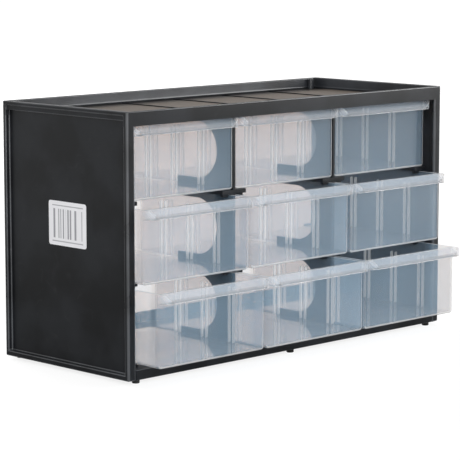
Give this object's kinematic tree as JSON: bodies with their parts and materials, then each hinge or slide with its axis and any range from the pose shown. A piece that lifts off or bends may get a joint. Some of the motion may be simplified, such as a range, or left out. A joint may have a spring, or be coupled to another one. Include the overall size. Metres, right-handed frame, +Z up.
{
  "type": "parts bin cabinet",
  "caption": "Open-backed cabinet with a tray on top and translucent drawers that slide out on runners by a moulded pull lip.",
  "frame": {"origin": "on the surface that the feet stand on, under the middle of the whole object's box at rest", "axes": "+X to the right seen from the front, +Y from the front to the back, +Z up"},
  "size_m": [0.365, 0.1808, 0.209],
  "materials": {
    "housing_black": "satin moulded black plastic",
    "foot_black": "matt black plastic",
    "label_white": "smooth white film",
    "drawer_haze": "glossy translucent polypropylene"
  },
  "bodies": {
    "housing": {"left_side_panel": "housing_black", "right_side_panel": "housing_black", "top_tray": "housing_black", "base_plate": "housing_black", "left_partition": "housing_black", "right_partition": "housing_black", "foot_front_left": "foot_black", "foot_front_middle": "foot_black", "foot_front_right": "foot_black", "foot_rear_left": "foot_black", "foot_rear_middle": "foot_black", "foot_rear_right": "foot_black", "side_label": "label_white"},
    "drawer_top_left": {"drawer_top_left": "drawer_haze"},
    "drawer_top_centre": {"drawer_top_centre": "drawer_haze"},
    "drawer_top_right": {"drawer_top_right": "drawer_haze"},
    "drawer_middle_left": {"drawer_middle_left": "drawer_haze"},
    "drawer_middle_centre": {"drawer_middle_centre": "drawer_haze"},
    "drawer_middle_right": {"drawer_middle_right": "drawer_haze"},
    "drawer_bottom_left": {"drawer_bottom_left": "drawer_haze"},
    "drawer_bottom_centre": {"drawer_bottom_centre": "drawer_haze"},
    "drawer_bottom_right": {"drawer_bottom_right": "drawer_haze"}
  },
  "joints": [
    {"name": "top_left_slide", "type": "slide", "parent": "housing", "child": "drawer_top_left", "axis": [0, -1, 0], "range_m": [0, 0.124]},
    {"name": "top_centre_slide", "type": "slide", "parent": "housing", "child": "drawer_top_centre", "axis": [0, -1, 0], "range_m": [0, 0.124]},
    {"name": "top_right_slide", "type": "slide", "parent": "housing", "child": "drawer_top_right", "axis": [0, -1, 0], "range_m": [0, 0.124]},
    {"name": "middle_left_slide", "type": "slide", "parent": "housing", "child": "drawer_middle_left", "axis": [0, -1, 0], "range_m": [-0.018, 0.106]},
    {"name": "middle_centre_slide", "type": "slide", "parent": "housing", "child": "drawer_middle_centre", "axis": [0, -1, 0], "range_m": [-0.018, 0.106]},
    {"name": "middle_right_slide", "type": "slide", "parent": "housing", "child": "drawer_middle_right", "axis": [0, -1, 0], "range_m": [-0.018, 0.106]},
    {"name": "bottom_left_slide", "type": "slide", "parent": "housing", "child": "drawer_bottom_left", "axis": [0, -1, 0], "range_m": [-0.035, 0.089]},
    {"name": "bottom_centre_slide", "type": "slide", "parent": "housing", "child": "drawer_bottom_centre", "axis": [0, -1, 0], "range_m": [-0.035, 0.089]},
    {"name": "bottom_right_slide", "type": "slide", "parent": "housing", "child": "drawer_bottom_right", "axis": [0, -1, 0], "range_m": [-0.035, 0.089]}
  ]
}
